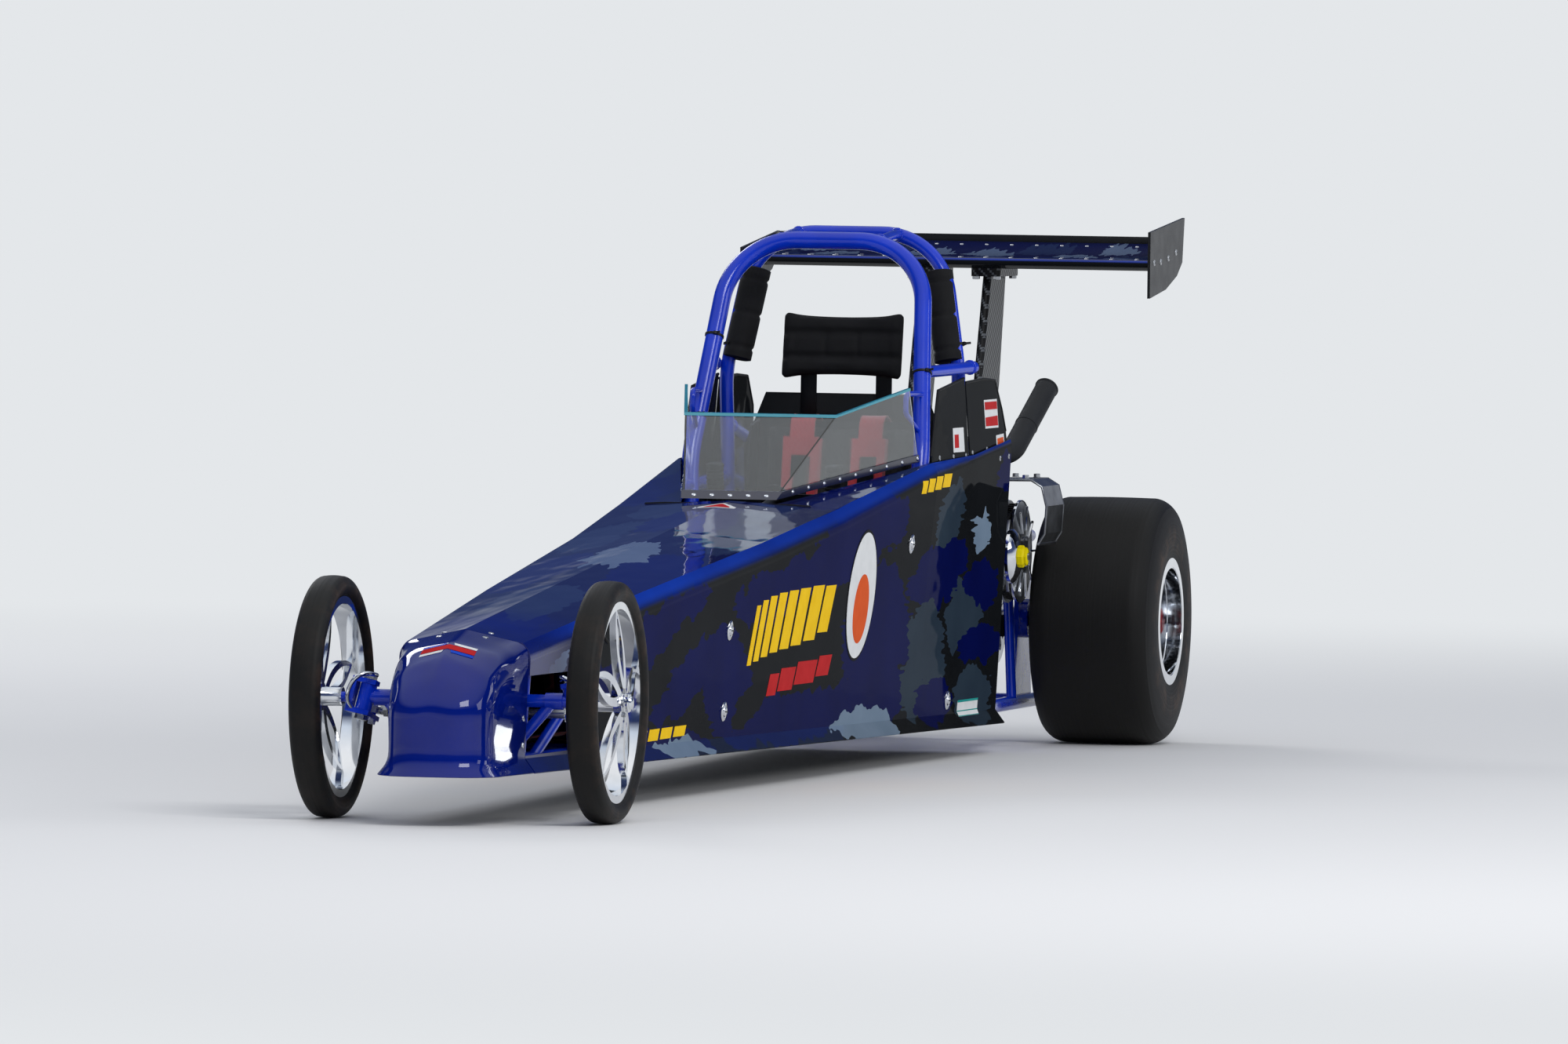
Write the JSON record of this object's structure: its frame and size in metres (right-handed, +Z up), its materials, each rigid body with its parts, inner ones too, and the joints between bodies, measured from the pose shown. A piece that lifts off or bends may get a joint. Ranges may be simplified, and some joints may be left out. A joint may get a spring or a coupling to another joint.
{
  "type": "drag racing car",
  "caption": "Small rear-engined drag racing car: long tapered body over a tube frame, roll hoops, narrow front wheels, wide slick rear tyres, belt drive and a raised rear wing.",
  "frame": {"origin": "middle of the car's bounding box, on the ground", "axes": "+X forward along the car, +Y to the car's left, +Z up"},
  "size_m": [4.281, 0.8968, 0.974],
  "materials": {
    "frame_blue": "gloss cobalt blue",
    "body_wrap": "satin camouflage in navy, charcoal and slate",
    "nose_blue": "gloss candy blue",
    "panel_black": "satin black sheet",
    "polished": "polished",
    "brushed": "brushed",
    "steel": "machined",
    "black_steel": "black",
    "engine_cast": "cast",
    "rubber": "matte",
    "tyre": "dusty black",
    "screen": "clear with a faint tint",
    "screen_trim": "blue-green",
    "carbon": "woven carbon",
    "pad": "black vinyl",
    "webbing": "red webbing",
    "heat_black": "matte heat-proof black"
  },
  "bodies": {
    "chassis": {"axle_carriers": "frame_blue", "bearing_blocks": "brushed", "belly_pan": "brushed", "belt_guard": "brushed", "brake_caliper": "black_steel", "cage_bars": "frame_blue", "cage_pads": "pad", "column_supports": "steel", "cross_tubes": "frame_blue", "dash_panel": "panel_black", "drive_belt": "rubber", "drive_chain": "steel", "drive_clutch": "brushed", "driven_clutch": "polished", "engine": "engine_cast", "engine_mount": "frame_blue", "exhaust_pipe": "heat_black", "firewall": "brushed", "frame_braces": "frame_blue", "front_axle": "frame_blue", "harness": "webbing", "hood": "body_wrap", "main_rails": "frame_blue", "nose_cone": "nose_blue", "pedals": "brushed", "rear_fins": "body_wrap", "roll_hoops": "frame_blue", "screen_trim": "screen_trim", "seat_pads": "pad", "seat_shell": "brushed", "shoulder_panels": "body_wrap", "side_panels": "body_wrap", "windscreen": "screen", "wing": "body_wrap", "wing_end_plates": "body_wrap", "wing_mount": "brushed", "wing_struts": "carbon"},
    "knuckle_left_body": {"knuckle_left": "black_steel"},
    "knuckle_right_body": {"knuckle_right": "black_steel"},
    "front_left_wheel": {"front_wheel_left": "polished", "front_tyre_left": "tyre"},
    "front_right_wheel": {"front_wheel_right": "polished", "front_tyre_right": "tyre"},
    "rear_axle_body": {"rear_axle": "steel", "rear_wheels": "polished", "rear_tyres": "tyre", "brake_disc": "steel", "axle_sprocket": "brushed"},
    "steering_wheel_body": {"steering_wheel": "black_steel"},
    "tie_rod_body": {"tie_rod": "black_steel"}
  },
  "joints": [
    {"name": "steer_left", "type": "hinge", "parent": "chassis", "child": "knuckle_left_body", "pos_m": [1.8625, 0.178, 0.203], "axis": [-0.1546, -0.2054, 0.9664], "range_deg": [-14, 14]},
    {"name": "steer_right", "type": "hinge", "parent": "chassis", "child": "knuckle_right_body", "pos_m": [1.8625, -0.178, 0.203], "axis": [-0.1546, 0.2054, 0.9664], "range_deg": [-14, 14]},
    {"name": "rack_slide", "type": "slide", "parent": "chassis", "child": "tie_rod_body", "axis": [0, 1, 0], "range_m": [-0.022, 0.022]},
    {"name": "steering_wheel_turn", "type": "hinge", "parent": "chassis", "child": "steering_wheel_body", "pos_m": [-0.4175, 0, 0.478], "axis": [-0.9924, 0, 0.1232], "range_deg": [-56, 56]},
    {"name": "front_left_roll", "type": "hinge", "parent": "knuckle_left_body", "child": "front_left_wheel", "pos_m": [1.8625, 0.2375, 0.203], "axis": [0, 1, 0], "continuous": true},
    {"name": "front_right_roll", "type": "hinge", "parent": "knuckle_right_body", "child": "front_right_wheel", "pos_m": [1.8625, -0.2375, 0.203], "axis": [0, 1, 0], "continuous": true},
    {"name": "rear_axle_roll", "type": "hinge", "parent": "chassis", "child": "rear_axle_body", "pos_m": [-1.8025, 0, 0.229], "axis": [0, 1, 0], "continuous": true}
  ],
  "couplings": [
    {"joint": "steer_right", "follows": "steer_left", "ratio": 1},
    {"joint": "rack_slide", "follows": "steer_left", "m_per_rad": -0.08617},
    {"joint": "steering_wheel_turn", "follows": "steer_left", "ratio": 4}
  ]
}
